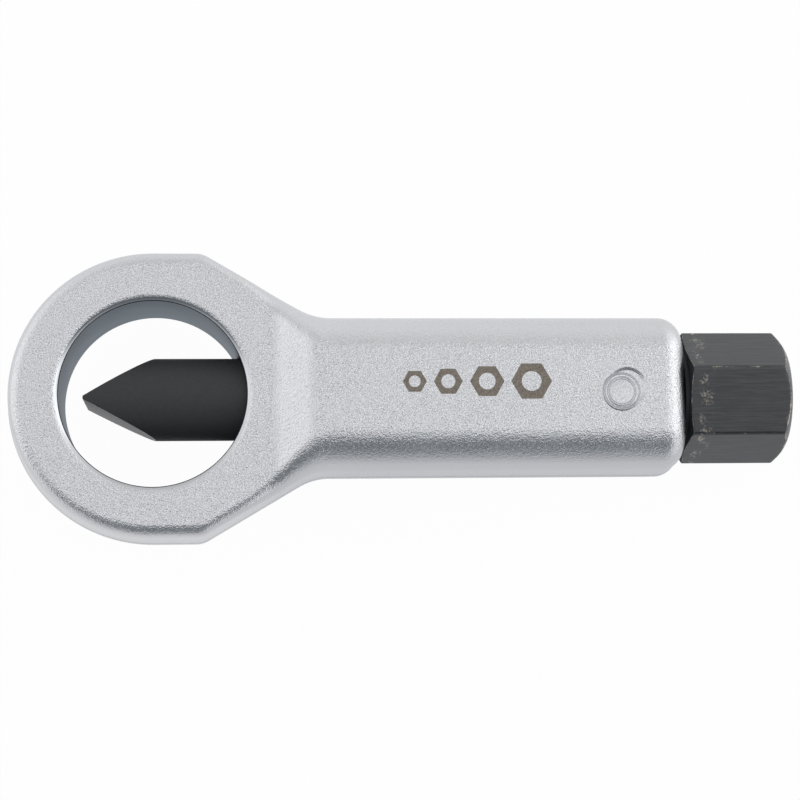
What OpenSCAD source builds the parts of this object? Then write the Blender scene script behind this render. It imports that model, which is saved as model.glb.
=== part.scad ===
// Mechanical nut splitter: a forged ring and barrel, a forcing screw and a sliding chisel.
// It lies on the flat of its barrel. +X runs from the ring to the hexagon head, and +Z is up.

/* [Nut ring] */
// Outside diameter of the ring
ring_od = 42.2; // [38:0.2:48]
// Diameter of the hole that goes over the nut
nut_hole_d = 26.8; // [22:0.2:29]
// Thickness of the ring
ring_t = 14.8; // [12:0.1:17]
// Radius on the ring's outer edges
ring_edge_r = 2; // [1:0.1:3]
// Radius on the edges of the nut hole
hole_edge_r = 0.9; // [0.4:0.1:2]

/* [Neck] */
// Distance of the shoulder corners past the ring's centre
shoulder_x = 7; // [5:0.1:10]
// Radius of the shoulder corners
shoulder_r = 3.5; // [2:0.1:6]
// Angle at which the neck narrows to the barrel, in degrees
neck_angle = 30.5; // [25:0.5:40]
// Hollow radius where the neck runs into the barrel's sides
neck_r = 9; // [5:0.5:12]
// Distance of the ramp's foot from the ring's centre
ramp_x = 17.3; // [16:0.1:22]
// Angle at which the faces rise from the ring to the barrel, in degrees
ramp_angle = 27; // [20:1:40]
// Hollow radius at the ramp's foot
ramp_foot_r = 5; // [2:0.5:8]
// Radius at the ramp's crest
ramp_crest_r = 5; // [1:0.5:6]

/* [Barrel] */
// Width of the barrel
barrel_w = 23.3; // [21:0.1:28]
// Depth of the barrel, from its back flat to its front flat
barrel_d = 20.5; // [19:0.1:24]
// Radius along the barrel's four long edges
barrel_edge_r = 5.8; // [3:0.1:7]
// Distance of the barrel's end from the ring's centre
barrel_end_x = 76.8; // [70:0.1:90]
// Radius round the barrel's end
barrel_end_r = 3.4; // [1:0.1:4]
// Forging draft of the sides, in degrees
draft = 4.5; // [1:0.5:5]

/* [Forcing screw] */
// Outside diameter of the screw's thread
thread_d = 14; // [13:0.5:16]
// Lead of the thread for one turn
thread_pitch = 1.5; // [1:0.25:2]
// Length by which the tapped hole runs on past the screw's end when fully in
tapped_spare = 1.5; // [0.5:0.1:3]
// Diameter of the run-out groove under the head
runout_d = 11.8; // [10:0.1:12.5]
// Width of the run-out groove
runout_l = 2.2; // [1:0.1:4]
// Hexagon of the head, across its flats
head_af = 17; // [15:0.5:22]
// Length of the hexagon
head_l = 15.3; // [10:0.1:20]
// Diameter of the hexagon's outer end face
head_face_d = 15.6; // [12:0.1:16]
// Angle of the chamfer round the outer end, in degrees
head_chamfer = 33; // [20:1:45]
// Turn of the head when the screw is fully in, in degrees
head_turn = 10; // [0:1:59]
// Diameter of the turned washer face under the head
washer_d = 16; // [15:0.1:17]
// Thickness of the washer face
washer_t = 0.6; // [0.3:0.1:1.5]

/* [Chisel] */
// Diameter of the chisel bar
chisel_d = 12; // [11:0.1:12.2]
// Distance of the cutting edge past the ring's centre when fully in
edge_reach = 10; // [7:0.5:10]
// Length of the chisel
chisel_l = 50; // [48:0.5:52]
// Angle between the two bevels, in degrees
bevel_angle = 59; // [55:1:80]
// Width of the blunted cutting edge
edge_flat = 0.4; // [0.2:0.1:0.8]
// Distance by which the cutting edge is ground to the side of the bar's middle
edge_off = -0.4; // [-0.6:0.1:0.6]
// Full turns of the screw from fully in to fully out
travel_turns = 16; // [12:1:16]

/* [Swivel] */
// Diameter of the spigot on the screw's nose
spigot_d = 7; // [6:0.1:7.5]
// Depth of the socket in the chisel's tail
socket_l = 9; // [8:0.5:10]
// Diameter of the thrust ball
ball_d = 5; // [4:0.1:5.5]
// Wire diameter of the snap ring
snap_wire_d = 1.2; // [0.8:0.1:1.4]
// Distance of the snap ring from the chisel's tail
snap_depth = 3; // [2:0.1:4]
// Opening between the ends of the snap ring, in degrees
snap_gap = 40; // [20:5:90]

/* [Guide screw] */
// Distance of the guide screw from the ring's centre
guide_x = 28.5; // [27:0.1:30]
// Thread diameter of the guide screw
guide_d = 5; // [4:0.5:6]
// Diameter of its dog point
dog_d = 3.4; // [2.5:0.1:3.6]
// Depth of the keyway in the chisel
keyway_depth = 2; // [1.5:0.1:2.2]
// Depth of the guide screw below the barrel's back flat
guide_sunk = 0.4; // [0.2:0.1:1]
// Key size of its hexagon socket
guide_key = 2.5; // [2:0.5:3]
// Depth of its hexagon socket
guide_key_l = 1.8; // [1:0.1:2.2]

/* [Clearances] */
// Gap all round a bar, screw or spigot in its bore
running_gap = 0.05; // [0.02:0.01:0.1]
// Gap between faces that press on each other, so that they just clear
face_gap = 0.05; // [0.02:0.01:0.1]
// Gap round the snap ring in its grooves
groove_gap = 0.1; // [0.05:0.01:0.15]
// Gap between the chisel's tail and the screw's shoulder
tail_gap = 0.3; // [0.2:0.05:0.5]
// Gap round the dog point in its keyway
keyway_gap = 0.1; // [0.05:0.01:0.2]
// Gap at the dog's tip and at the ends of the keyway
dog_tip_gap = 0.3; // [0.2:0.05:0.5]

/* [Hidden] */

$fn = 96;
// Extra length by which a cut runs past a face
past = 1;
// Smallest radius that an edge shrinks to in the barrel's rounded end
least_r = 0.3;

// The part's origin is under the middle of its box, on the barrel's back flat
head_start_x = barrel_end_x + face_gap + washer_t;
head_end_x = head_start_x + head_l;
middle_x = (head_end_x - ring_od / 2) / 2;
axis_z = barrel_d / 2;

// Places along the screw's axis, from the ring's centre
edge_x = -edge_reach;
tail_x = edge_x + chisel_l;
shank_x = tail_x + tail_gap;
socket_floor_x = tail_x - socket_l;
snap_x = tail_x - snap_depth;
tapped_x = shank_x - tapped_spare;
travel = travel_turns * thread_pitch;

guide_bore_d = chisel_d + 2 * running_gap;
tapped_d = thread_d + 2 * running_gap;
socket_d = spigot_d + 2 * running_gap;
// The snap ring lies half in the spigot and half in the socket's wall
snap_mid_d = spigot_d + running_gap;
groove_w = snap_wire_d + 2 * groove_gap;
spigot_groove_d = snap_mid_d - snap_wire_d - 2 * groove_gap;
socket_groove_d = snap_mid_d + snap_wire_d + 2 * groove_gap;
keyway_w = dog_d + 2 * keyway_gap;
keyway_floor_r = chisel_d / 2 - keyway_depth;

// Steps of the forging's curved stretches
ring_steps = 36;
neck_steps = 27;
end_steps = 5;
edge_steps = 5;
neck_end_x = shoulder_x + (ring_od - barrel_w) / 2 / tan(neck_angle) + neck_r * tan(neck_angle / 2);

frame_colour = [0.78, 0.79, 0.8];
black_colour = [0.2, 0.21, 0.22];
steel_colour = [0.6, 0.6, 0.62];

// A level y1 that bends at corner x1 into a slope, and bends again into level y2, with both corners rounded
function eased(x, x1, y1, y2, angle, r1, r2) =
    let (way = sign(y2 - y1),
         x2 = x1 + abs(y2 - y1) / tan(angle),
         t1 = r1 * tan(angle / 2),
         t2 = r2 * tan(angle / 2))
    x <= x1 - t1 ? y1
    : x < x1 + t1 * cos(angle) ? y1 + way * (r1 - sqrt(r1 * r1 - (x - x1 + t1) * (x - x1 + t1)))
    : x <= x2 - t2 * cos(angle) ? y1 + way * (x - x1) * tan(angle)
    : x < x2 + t2 ? y2 - way * (r2 - sqrt(r2 * r2 - (x2 + t2 - x) * (x2 + t2 - x)))
    : y2;

// Half width and half depth of the forging, and its edge radius, along X
function half_w(x) = eased(x, shoulder_x, ring_od / 2, barrel_w / 2, neck_angle, shoulder_r, neck_r);
function half_d(x) = eased(x, ramp_x, ring_t / 2, barrel_d / 2, ramp_angle, ramp_foot_r, ramp_crest_r);
function blend(t) = t <= 0 ? 0 : t >= 1 ? 1 : t * t * (3 - 2 * t);
function edge_r(x) =
    let (start = (shoulder_x + ramp_x) / 2)
    ring_edge_r + (barrel_edge_r - ring_edge_r) * blend((x - start) / (neck_end_x - start));

// One side of a section, from its top to its bottom: distance in from the widest line, and height
function side(d, r) =
    let (rise = d - r,
         inset = (r + rise * sin(draft)) / cos(draft),
         arc = [for (i = [edge_steps:-1:0])
             let (a = draft + (90 - draft) * i / edge_steps)
             [inset - r * cos(a), rise + r * sin(a)]])
    concat(arc, [[0, 0]], [for (i = [edge_steps:-1:0]) [arc[i][0], -arc[i][1]]]);

side_points = 2 * (edge_steps + 1) + 1;

// Sections across the neck and the barrel: place along X, and how far the section has shrunk in the end's radius
stations = concat(
    [for (i = [1:neck_steps]) [neck_end_x * i / neck_steps, 0]],
    [for (i = [0:end_steps])
        let (a = 90 * i / end_steps)
        [barrel_end_x - barrel_end_r * (1 - sin(a)), barrel_end_r * (1 - cos(a))]]);
station_count = len(stations);

function station_side(station, way) =
    let (x = station[0], shrink = station[1], w = half_w(x) - shrink)
    [for (p = side(half_d(x) - shrink, max(edge_r(x) - shrink, least_r))) [x, way * (w - p[0]), p[1]]];

function ring_side(a) =
    [for (p = side(ring_t / 2, ring_edge_r)) [(ring_od / 2 - p[0]) * cos(a), (ring_od / 2 - p[0]) * sin(a), p[1]]];

// The forging without its holes: one skin that runs along one side, round the ring and back along the other side
module forging() {
    sides = concat(
        [for (i = [station_count - 1:-1:0]) station_side(stations[i], 1)],
        [for (i = [0:ring_steps]) ring_side(90 + 180 * i / ring_steps)],
        [for (i = [0:station_count - 1]) station_side(stations[i], -1)]);
    last = len(sides) - 1;
    points = [for (s = sides) for (p = s) p];
    low = side_points - 1;
    skin = [for (i = [0:last - 1]) for (j = [0:low - 1])
        let (a = i * side_points + j, b = a + side_points)
        [a, a + 1, b + 1, b]];
    end_face = concat(
        [for (j = [low:-1:0]) j],
        [for (j = [0:low]) last * side_points + j]);
    ring_first = station_count;
    ring_last = station_count + ring_steps;
    ring_top = [for (i = [ring_first:ring_last]) i * side_points];
    ring_bottom = [for (i = [ring_last:-1:ring_first]) i * side_points + low];
    neck_top = [for (i = [0:station_count - 1])
        let (a = i * side_points, b = a + side_points, c = (last - i) * side_points, d = c - side_points)
        [a, b, d, c]];
    neck_bottom = [for (f = neck_top) [f[3] + low, f[2] + low, f[1] + low, f[0] + low]];
    polyhedron(points, concat(skin, [end_face, ring_top, ring_bottom], neck_top, neck_bottom), convexity = 6);
}

// What is cut away for the nut, with its rounded edges
module nut_hole() {
    hole_r = nut_hole_d / 2;
    straight = ring_t / 2 - hole_edge_r;
    rim = [for (i = [0:edge_steps])
        let (a = 90 * i / edge_steps)
        [hole_r + hole_edge_r * (1 - cos(a)), straight + hole_edge_r * sin(a) + face_gap * sin(a)]];
    top = barrel_d;
    rotate_extrude()
        polygon(concat(
            [[0, -top], [hole_r + hole_edge_r, -top]],
            [for (i = [edge_steps:-1:0]) [rim[i][0], -rim[i][1]]],
            rim,
            [[hole_r + hole_edge_r, top], [0, top]]));
}

// A bar of revolution along X, from a profile of [place along X, radius] points
module turned(profile) {
    rotate([0, 90, 0])
        rotate_extrude()
            polygon([for (p = profile) [p[1], p[0]]]);
}

module round_bar(x, d, l) {
    translate([x, 0, 0])
        rotate([0, 90, 0])
            cylinder(d = d, h = l);
}

// Puts a piece, drawn about the ring's centre on the screw's axis, at its place in the part
module in_place() {
    translate([-middle_x, 0, axis_z])
        children();
}

module frame() {
    lead_in = (tapped_d - runout_d) / 4;
    color(frame_colour)
        in_place()
            difference() {
                forging();
                nut_hole();
                round_bar(0, guide_bore_d, tapped_x + past);
                round_bar(tapped_x, tapped_d, barrel_end_x - tapped_x + past);
                turned([
                    [barrel_end_x - lead_in, 0],
                    [barrel_end_x - lead_in, tapped_d / 2],
                    [barrel_end_x + past, tapped_d / 2 + lead_in + past],
                    [barrel_end_x + past, 0]]);
                translate([guide_x, 0, -barrel_d / 2 - past])
                    cylinder(d = guide_d + 2 * running_gap, h = barrel_d / 2 + past);
            }
}

module hexagon_head() {
    corner_r = head_af / sqrt(3);
    clear_r = corner_r + past;
    outer_drop = (clear_r - head_face_d / 2) * tan(head_chamfer);
    inner_drop = (clear_r - washer_d / 2) * tan(head_chamfer / 2);
    intersection() {
        translate([head_start_x, 0, 0])
            rotate([head_turn, 0, 0])
                rotate([0, 90, 0])
                    rotate(30)
                        cylinder(r = corner_r, h = head_l, $fn = 6);
        turned([
            [head_start_x, 0],
            [head_start_x, washer_d / 2],
            [head_start_x + inner_drop, clear_r],
            [head_end_x - outer_drop, clear_r],
            [head_end_x, head_face_d / 2],
            [head_end_x, 0]]);
    }
}

module spindle() {
    nose_x = socket_floor_x + ball_d / 2 + face_gap;
    spigot_r = spigot_d / 2;
    groove_r = spigot_groove_d / 2;
    thread_r = thread_d / 2;
    runout_r = runout_d / 2;
    thread_depth = thread_r - runout_r;
    nose_chamfer = (spigot_r - groove_r) / 2;
    washer_x = barrel_end_x + face_gap;
    color(black_colour)
        in_place()
            union() {
                turned([
                    [nose_x, 0],
                    [nose_x, spigot_r - nose_chamfer],
                    [nose_x + nose_chamfer, spigot_r],
                    [snap_x - groove_w / 2, spigot_r],
                    [snap_x - groove_w / 2, groove_r],
                    [snap_x + groove_w / 2, groove_r],
                    [snap_x + groove_w / 2, spigot_r],
                    [shank_x, spigot_r],
                    [shank_x, runout_r],
                    [shank_x + thread_depth, thread_r],
                    [washer_x - runout_l - thread_depth, thread_r],
                    [washer_x - runout_l, runout_r],
                    [washer_x, runout_r],
                    [washer_x, washer_d / 2],
                    [head_start_x + washer_t, washer_d / 2],
                    [head_start_x + washer_t, 0]]);
                hexagon_head();
            }
}

module chisel() {
    half = chisel_d / 2;
    bevel_l = (half - edge_flat / 2) / tan(bevel_angle / 2);
    keyway_first = guide_x - travel - dog_d / 2 - dog_tip_gap;
    keyway_last = guide_x + dog_d / 2 + dog_tip_gap;
    tail_chamfer = running_gap * 10;
    color(black_colour)
        in_place()
            difference() {
                intersection() {
                    turned([
                        [edge_x, 0],
                        [edge_x, half],
                        [tail_x - tail_chamfer, half],
                        [tail_x, half - tail_chamfer],
                        [tail_x, 0]]);
                    translate([0, 0, -chisel_d])
                        linear_extrude(2 * chisel_d)
                            polygon([
                                [edge_x, edge_off - edge_flat / 2],
                                [edge_x + bevel_l, -half],
                                [edge_x + bevel_l, -chisel_d],
                                [tail_x + past, -chisel_d],
                                [tail_x + past, chisel_d],
                                [edge_x + bevel_l, chisel_d],
                                [edge_x + bevel_l, half],
                                [edge_x, edge_off + edge_flat / 2]]);
                }
                turned([
                    [socket_floor_x, 0],
                    [socket_floor_x, socket_d / 2],
                    [snap_x - groove_w / 2, socket_d / 2],
                    [snap_x - groove_w / 2, socket_groove_d / 2],
                    [snap_x + groove_w / 2, socket_groove_d / 2],
                    [snap_x + groove_w / 2, socket_d / 2],
                    [tail_x + past, socket_d / 2],
                    [tail_x + past, 0]]);
                translate([socket_floor_x, 0, 0])
                    sphere(d = ball_d + 2 * running_gap);
                translate([keyway_first, -keyway_w / 2, -chisel_d])
                    cube([keyway_last - keyway_first, keyway_w, chisel_d - keyway_floor_r]);
            }
}

module thrust_ball() {
    color(steel_colour)
        in_place()
            translate([socket_floor_x, 0, 0])
                sphere(d = ball_d);
}

module swivel_ring() {
    color(steel_colour)
        in_place()
            translate([snap_x, 0, 0])
                rotate([0, 90, 0])
                    rotate(snap_gap / 2)
                        rotate_extrude(angle = 360 - snap_gap)
                            translate([snap_mid_d / 2, 0])
                                circle(d = snap_wire_d);
}

module guide_screw() {
    bottom_z = -barrel_d / 2 + guide_sunk;
    body_top_z = -guide_bore_d / 2 - running_gap;
    dog_top_z = -keyway_floor_r - dog_tip_gap;
    chamfer = (guide_d - dog_d) / 4;
    color(steel_colour)
        in_place()
            translate([guide_x, 0, 0])
                difference() {
                    rotate_extrude()
                        polygon([
                            [0, bottom_z],
                            [guide_d / 2 - chamfer, bottom_z],
                            [guide_d / 2, bottom_z + chamfer],
                            [guide_d / 2, body_top_z - chamfer],
                            [guide_d / 2 - chamfer, body_top_z],
                            [dog_d / 2, body_top_z],
                            [dog_d / 2, dog_top_z],
                            [0, dog_top_z]]);
                    translate([0, 0, bottom_z - past])
                        cylinder(d = guide_key * 2 / sqrt(3), h = guide_key_l + past, $fn = 6);
                }
}

frame();
spindle();
chisel();
thrust_ball();
swivel_ring();
guide_screw();
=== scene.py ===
import math

import bpy
import numpy as np
from mathutils import Matrix


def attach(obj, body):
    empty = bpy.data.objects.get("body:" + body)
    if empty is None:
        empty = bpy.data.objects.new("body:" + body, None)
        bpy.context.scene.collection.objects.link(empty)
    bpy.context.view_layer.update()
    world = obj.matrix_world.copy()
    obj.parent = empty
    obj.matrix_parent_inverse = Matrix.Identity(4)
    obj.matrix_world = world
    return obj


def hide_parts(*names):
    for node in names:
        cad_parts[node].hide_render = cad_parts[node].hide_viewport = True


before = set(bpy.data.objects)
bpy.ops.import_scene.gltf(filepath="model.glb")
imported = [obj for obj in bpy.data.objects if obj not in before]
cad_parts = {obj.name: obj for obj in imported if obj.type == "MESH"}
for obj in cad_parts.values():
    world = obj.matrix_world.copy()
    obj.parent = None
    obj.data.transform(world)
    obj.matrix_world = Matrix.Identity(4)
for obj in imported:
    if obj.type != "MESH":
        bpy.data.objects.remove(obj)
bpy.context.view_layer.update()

# The body of the tool: one drop forging, with a ring for the nut at one end and a barrel for the screw.
# It is shot-blasted carbon steel with satin bright plating, and a trimmed flash line runs round its sides.
# Sizes are in millimetres from the ring's centre, on the screw's axis.
ring_centre = np.array((-0.035825, 0.0, 0.01025))
ring_r, ring_half_t, ring_edge_r = 21.1, 7.4, 2.0
hole_r = 13.4
barrel_half_w, barrel_half_d, barrel_edge_r = 11.65, 10.25, 5.8
barrel_end_x, barrel_end_r = 76.8, 3.4
neck_side_x, neck_side_angle, neck_side_bends = 7, 30.5, (3.5, 9)
neck_ramp_x, neck_ramp_angle, neck_ramp_bends = 17.3, 27, (5, 5)
neck_round_x, neck_end_x = 12.15, 25.5
draft = math.radians(4.5)
flash_h, flash_half_t = 0.07, 0.35


def make_piece(name, points, faces, finishes=(), finish_of_face=None):
    """A mesh piece from points in millimetres about the ring's centre."""
    mesh = bpy.data.meshes.new(name)
    mesh.from_pydata(np.asarray(points) * 0.001 + ring_centre, [], faces)
    for finish in finishes:
        mesh.materials.append(finish)
    if finish_of_face is not None:
        mesh.polygons.foreach_set("material_index", finish_of_face)
    mesh.validate()
    piece = bpy.data.objects.new(name, mesh)
    bpy.context.scene.collection.objects.link(piece)
    return piece


def settle(piece):
    """Makes what the piece's modifiers give into its own mesh."""
    before = piece.data
    piece.data = bpy.data.meshes.new_from_object(piece.evaluated_get(bpy.context.evaluated_depsgraph_get()))
    piece.modifiers.clear()
    piece.data.name = before.name
    bpy.data.meshes.remove(before)


def cut_away(piece, tool):
    """Takes the tool's volume out of the piece. The walls that it leaves have the tool's finish."""
    knife = piece.modifiers.new("cut", "BOOLEAN")
    knife.operation = "DIFFERENCE"
    knife.solver = "EXACT"
    knife.material_mode = "TRANSFER"
    knife.object = tool
    settle(piece)
    bpy.data.objects.remove(tool)


def shade(piece, angle):
    """Smooth shading that breaks at edges sharper than the angle, weighted so that flats look flat."""
    piece.data.shade_smooth()
    piece.data.set_sharp_from_angle(angle=math.radians(angle))
    weights = piece.modifiers.new("weights", "WEIGHTED_NORMAL")
    weights.keep_sharp = True
    settle(piece)


def eased(x, x1, y1, y2, angle, r1, r2):
    """A level y1 that bends at corner x1 into a slope and again into level y2, with both corners rounded."""
    way = math.copysign(1, y2 - y1)
    slope = math.tan(math.radians(angle))
    half = math.tan(math.radians(angle) / 2)
    level = math.cos(math.radians(angle))
    x2 = x1 + abs(y2 - y1) / slope
    t1, t2 = r1 * half, r2 * half
    if x <= x1 - t1:
        return y1
    if x < x1 + t1 * level:
        return y1 + way * (r1 - math.sqrt(r1 * r1 - (x - x1 + t1) ** 2))
    if x <= x2 - t2 * level:
        return y1 + way * (x - x1) * slope
    if x < x2 + t2:
        return y2 - way * (r2 - math.sqrt(r2 * r2 - (x2 + t2 - x) ** 2))
    return y2


def forged_half_w(x):
    """Half the forging's width: the ring's, then down the neck's sides to the barrel's."""
    return eased(x, neck_side_x, ring_r, barrel_half_w, neck_side_angle, *neck_side_bends)


def forged_half_d(x):
    """Half the forging's depth: the ring's, then up the neck's ramp to the barrel's."""
    return eased(x, neck_ramp_x, ring_half_t, barrel_half_d, neck_ramp_angle, *neck_ramp_bends)


def forged_edge_r(x):
    """The radius on the forging's long edges, which grows along the neck."""
    t = min(max((x - neck_round_x) / (neck_end_x - neck_round_x), 0), 1)
    return ring_edge_r + (barrel_edge_r - ring_edge_r) * t * t * (3 - 2 * t)


def forged_side(half_d, edge_r):
    """One side of a section, top to bottom: distance in from the flash line's crest, and height."""
    rise = half_d - edge_r
    inset = (edge_r + rise * math.sin(draft)) / math.cos(draft) + flash_h
    upper = []
    for a in np.linspace(math.pi / 2, draft, 13):
        upper.append((inset - edge_r * math.cos(a), rise + edge_r * math.sin(a)))
    low_z = upper[-1][1]
    for z in (low_z * 0.66, low_z * 0.33, flash_half_t * 1.9, flash_half_t * 1.5):
        upper.append((z * math.tan(draft) + flash_h, z))
    upper.append((flash_h * 0.35, flash_half_t * 1.15))
    upper.append((0.004, flash_half_t))
    return upper + [(0.0, 0.0)] + [(i, -z) for i, z in reversed(upper)]


def plating_grain():
    """The fine grain that shot leaves in a plated surface: a height for the bump and a mask of its pits."""
    group = bpy.data.node_groups.new("plating_grain", "ShaderNodeTree")
    for name, kind, way in (
        ("Vector", "NodeSocketVector", "INPUT"),
        ("Grain Size", "NodeSocketFloat", "INPUT"),
        ("Height", "NodeSocketFloat", "OUTPUT"),
        ("Pits", "NodeSocketFloat", "OUTPUT"),
    ):
        group.interface.new_socket(name=name, in_out=way, socket_type=kind)
    n, link = group.nodes, group.links.new
    given, put = n.new("NodeGroupInput"), n.new("NodeGroupOutput")
    per_grain = n.new("ShaderNodeMath")
    per_grain.operation = "DIVIDE"
    per_grain.inputs[0].default_value = 1.0
    link(given.outputs["Grain Size"], per_grain.inputs[1])
    dents = n.new("ShaderNodeTexVoronoi")
    dents.feature = "SMOOTH_F1"
    dents.inputs["Smoothness"].default_value = 0.55
    dents.inputs["Randomness"].default_value = 1.0
    fuzz = n.new("ShaderNodeTexNoise")
    fuzz.inputs["Detail"].default_value = 3.0
    fuzz.inputs["Roughness"].default_value = 0.6
    for texture in (dents, fuzz):
        link(given.outputs["Vector"], texture.inputs["Vector"])
        link(per_grain.outputs[0], texture.inputs["Scale"])
    both = n.new("ShaderNodeMath")
    both.operation = "ADD"
    link(dents.outputs["Distance"], both.inputs[0])
    link(fuzz.outputs["Fac"], both.inputs[1])
    waves = n.new("ShaderNodeTexNoise")
    waves.inputs["Scale"].default_value = 2.2
    waves.inputs["Detail"].default_value = 2.0
    link(given.outputs["Vector"], waves.inputs["Vector"])
    uneven = n.new("ShaderNodeMath")
    uneven.operation = "MULTIPLY_ADD"
    uneven.inputs[1].default_value = 1.7
    link(waves.outputs["Fac"], uneven.inputs[0])
    link(both.outputs[0], uneven.inputs[2])
    link(uneven.outputs[0], put.inputs["Height"])
    deep = n.new("ShaderNodeMapRange")
    deep.inputs["From Min"].default_value = 0.6
    deep.inputs["From Max"].default_value = 0.38
    link(fuzz.outputs["Fac"], deep.inputs["Value"])
    link(deep.outputs["Result"], put.inputs["Pits"])
    return group


def steel_finish(name, colour, metallic, roughness):
    """A new material with a shader in one plain tone, and object coordinates in millimetres."""
    finish = bpy.data.materials.new(name)
    finish.use_nodes = True
    finish.diffuse_color = (*colour, 1)
    nodes = finish.node_tree.nodes
    shader = nodes["Principled BSDF"]
    shader.inputs["Base Color"].default_value = (*colour, 1)
    shader.inputs["Metallic"].default_value = metallic
    shader.inputs["Roughness"].default_value = roughness
    place = nodes.new("ShaderNodeTexCoord")
    scale = nodes.new("ShaderNodeVectorMath")
    scale.name = "in_mm"
    scale.operation = "SCALE"
    scale.inputs["Scale"].default_value = 1000
    finish.node_tree.links.new(place.outputs["Object"], scale.inputs[0])
    return finish


plating_grain_group = plating_grain()
# The share of pits on slopes, where single pits are too fine to show.
mean_pits = 0.43


def plated(name, colour, roughness, grain, bump, pit_shade):
    """Satin plating over blasted steel: grain in the bump, darker pits and slow clouds in the tone."""
    finish = steel_finish(name, colour, 1.0, roughness)
    n, link = finish.node_tree.nodes, finish.node_tree.links.new
    shader, place = n["Principled BSDF"], n["in_mm"].outputs["Vector"]
    blast = n.new("ShaderNodeGroup")
    blast.node_tree = plating_grain_group
    blast.inputs["Grain Size"].default_value = grain
    link(place, blast.inputs["Vector"])
    facing = n.new("ShaderNodeNewGeometry")
    way = n.new("ShaderNodeSeparateXYZ")
    link(facing.outputs["True Normal"], way.inputs["Vector"])
    level = n.new("ShaderNodeMath")
    level.operation = "ABSOLUTE"
    link(way.outputs["Z"], level.inputs[0])
    flats = n.new("ShaderNodeMapRange")
    flats.interpolation_type = "SMOOTHSTEP"
    flats.inputs["From Min"].default_value = 0.35
    flats.inputs["From Max"].default_value = 0.85
    flats.inputs["To Min"].default_value = 0.2
    link(level.outputs[0], flats.inputs["Value"])
    relief = n.new("ShaderNodeBump")
    relief.inputs["Distance"].default_value = bump * 0.001
    link(flats.outputs["Result"], relief.inputs["Strength"])
    link(blast.outputs["Height"], relief.inputs["Height"])
    link(relief.outputs["Normal"], shader.inputs["Normal"])
    clouds = n.new("ShaderNodeTexNoise")
    clouds.inputs["Scale"].default_value = 0.16
    clouds.inputs["Detail"].default_value = 4.0
    link(place, clouds.inputs["Vector"])
    tone = n.new("ShaderNodeMix")
    tone.data_type = "RGBA"
    tone.inputs["A"].default_value = (*[c * 0.93 for c in colour], 1)
    tone.inputs["B"].default_value = (*[min(c * 1.05, 1) for c in colour], 1)
    link(clouds.outputs["Fac"], tone.inputs["Factor"])
    pitted = n.new("ShaderNodeMix")
    pitted.data_type = "RGBA"
    pitted.inputs["B"].default_value = (*[c * pit_shade for c in colour], 1)
    blasted = n.new("ShaderNodeMapRange")
    blasted.interpolation_type = "SMOOTHSTEP"
    blasted.inputs["From Min"].default_value = 0.965
    blasted.inputs["From Max"].default_value = 0.994
    link(level.outputs[0], blasted.inputs["Value"])
    struck = n.new("ShaderNodeMix")
    struck.inputs["A"].default_value = mean_pits
    link(blasted.outputs["Result"], struck.inputs["Factor"])
    link(blast.outputs["Pits"], struck.inputs["B"])
    link(struck.outputs["Result"], pitted.inputs["Factor"])
    link(tone.outputs["Result"], pitted.inputs["A"])
    link(pitted.outputs["Result"], shader.inputs["Base Color"])
    dull = n.new("ShaderNodeMapRange")
    dull.inputs["To Min"].default_value = roughness - 0.04
    dull.inputs["To Max"].default_value = roughness + 0.05
    link(clouds.outputs["Fac"], dull.inputs["Value"])
    link(dull.outputs["Result"], shader.inputs["Roughness"])
    return finish


forging_finish = plated(
    "plated_forging", (0.82, 0.825, 0.84), roughness=0.26, grain=0.18, bump=0.042, pit_shade=0.68)
rim_finish = plated(
    "turned_rim", (0.55, 0.56, 0.575), roughness=0.2, grain=0.2, bump=0.002, pit_shade=0.95)
# The bored walls' dark tone is partly bare bored steel and partly painted shade for the shadowed underside
# that they mirror.
bored_steel_and_painted_shade = plated(
    "bored_wall_painted_shade", (0.19, 0.21, 0.23), roughness=0.36, grain=0.22, bump=0.006, pit_shade=0.8)

# The bored wall takes the plating thinly, and its dark tone is partly painted shade. The boring tool streaks
# it round, and painted shade makes it darker near the front.
n, link = bored_steel_and_painted_shade.node_tree.nodes, bored_steel_and_painted_shade.node_tree.links.new
n["Principled BSDF"].inputs["Specular Tint"].default_value = (0.66, 0.7, 0.735, 1)
height = n.new("ShaderNodeSeparateXYZ")
link(n["in_mm"].outputs["Vector"], height.inputs["Vector"])
# Painted shade: the wall's tone turns darker towards the front, from Z 6 mm up to 16 mm.
deep = n.new("ShaderNodeMapRange")
deep.inputs["From Min"].default_value = 16.0
deep.inputs["From Max"].default_value = 6.0
deep.inputs["To Min"].default_value = -0.4
deep.inputs["To Max"].default_value = 0.6
link(height.outputs["Z"], deep.inputs["Value"])
round_the_bore = n.new("ShaderNodeVectorMath")
round_the_bore.operation = "MULTIPLY"
round_the_bore.inputs[1].default_value = (0.2, 0.2, 2.6)
link(n["in_mm"].outputs["Vector"], round_the_bore.inputs[0])
marks = n.new("ShaderNodeTexNoise")
marks.inputs["Scale"].default_value = 1.0
marks.inputs["Detail"].default_value = 4.0
link(round_the_bore.outputs["Vector"], marks.inputs["Vector"])
streak_and_shade_share = n.new("ShaderNodeMath")
streak_and_shade_share.operation = "MULTIPLY_ADD"
streak_and_shade_share.use_clamp = True
streak_and_shade_share.inputs[1].default_value = 0.8
link(marks.outputs["Fac"], streak_and_shade_share.inputs[0])
link(deep.outputs["Result"], streak_and_shade_share.inputs[2])
streaked_and_shaded_tone = n.new("ShaderNodeMix")
streaked_and_shaded_tone.data_type = "RGBA"
streaked_and_shaded_tone.blend_type = "MULTIPLY"
streaked_and_shaded_tone.inputs["Factor"].default_value = 1.0
streaks_and_painted_shade = n.new("ShaderNodeMix")
streaks_and_painted_shade.data_type = "RGBA"
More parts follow.
